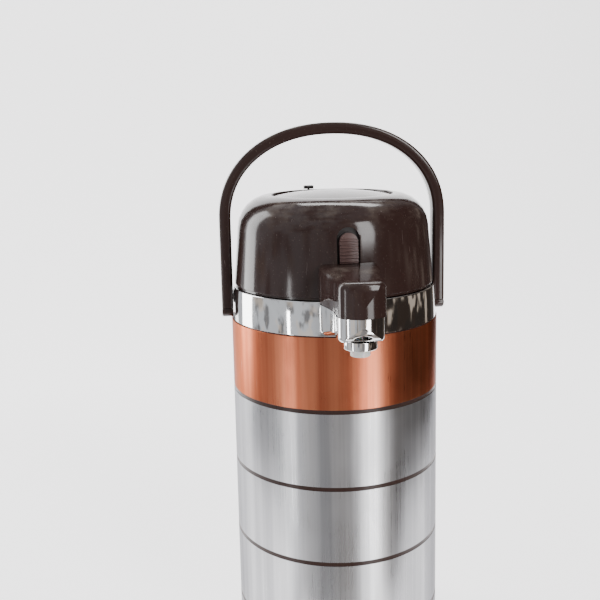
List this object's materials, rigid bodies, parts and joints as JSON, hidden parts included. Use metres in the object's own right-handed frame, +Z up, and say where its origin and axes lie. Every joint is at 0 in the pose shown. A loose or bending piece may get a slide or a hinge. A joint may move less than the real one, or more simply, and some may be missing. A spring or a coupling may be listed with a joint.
{
  "type": "thermal coffee airpot",
  "caption": "Pump airpot: metal casing round a glass vacuum flask, hinged lid with push plate, front spout and swinging carrying handle.",
  "frame": {"origin": "centre of the base, in the plane it stands on", "axes": "+Z up along the pot's axis, -Y towards the spout, +X to the right seen from the front"},
  "size_m": [0.1696, 0.212, 0.4068],
  "materials": {
    "casing_metal": "brushed, copper-tinted upper band",
    "chrome": "mirror chrome",
    "brown_plastic": "glossy moulded",
    "dark_plastic": "moulded, satin",
    "white_plastic": "moulded, satin",
    "clear_plastic": "translucent moulded",
    "steel": "plain bright steel",
    "silicone": "soft silicone",
    "black_rubber": "soft, matte",
    "silvered_glass": "silvered vacuum glass"
  },
  "bodies": {
    "pot": {"base_ring": "brown_plastic", "base_plate": "brown_plastic", "base_screws": "steel", "flask_cushion": "black_rubber", "casing": "casing_metal", "outer_flask": "silvered_glass", "inner_flask": "silvered_glass", "neck_packing": "silicone", "shoulder_ring": "dark_plastic", "chrome_collar": "chrome", "handle_bosses": "dark_plastic", "handle_pins": "steel", "handle_washers": "dark_plastic", "spout_chin": "chrome", "nozzle_cup": "chrome", "nozzle_ring": "chrome", "nozzle_tip": "white_plastic", "delivery_pipe": "clear_plastic", "dip_tube": "clear_plastic", "pipe_grommet": "silicone", "hinge_bracket": "dark_plastic", "hinge_pin": "steel"},
    "lid": {"lid_shell": "brown_plastic", "spout_hood": "brown_plastic", "lid_underplate": "dark_plastic", "lid_gasket": "silicone", "lid_screws": "steel", "air_valve": "silicone", "bellows_base": "dark_plastic", "lid_knuckle": "brown_plastic", "latch_frame": "dark_plastic", "bellows": "clear_plastic", "bellows_spring": "steel", "latch_spring": "steel"},
    "push": {"push_plate": "brown_plastic", "bellows_head": "dark_plastic", "intake_pad": "silicone"},
    "latch": {"latch_slider": "brown_plastic", "latch_hook": "dark_plastic"},
    "lock": {"lock_knob": "dark_plastic", "lock_bolt": "dark_plastic"},
    "handle": {"handle_bail": "brown_plastic", "handle_end_caps": "brown_plastic"}
  },
  "joints": [
    {"name": "lid_hinge", "type": "hinge", "parent": "pot", "child": "lid", "pos_m": [0, 0.08, 0.286], "axis": [-1, 0, 0], "range_deg": [0, 15]},
    {"name": "push_slide", "type": "slide", "parent": "lid", "child": "push", "axis": [0, 0, -1], "range_m": [0, 0.025], "stiffness_N_per_m": 300, "springref_m": -0.01, "deforming": ["bellows", "bellows_spring"]},
    {"name": "latch_slide", "type": "slide", "parent": "lid", "child": "latch", "axis": [0, 0, 1], "range_m": [0, 0.0022], "stiffness_N_per_m": 200, "springref_m": -0.002, "deforming": ["latch_spring"]},
    {"name": "lock_turn", "type": "hinge", "parent": "lid", "child": "lock", "pos_m": [0, 0, 0.35], "axis": [0, 0, -1], "range_deg": [0, 27.2]},
    {"name": "handle_swing", "type": "hinge", "parent": "pot", "child": "handle", "pos_m": [0, 0, 0.2795], "axis": [-1, 0, 0], "range_deg": [0, 95]}
  ]
}
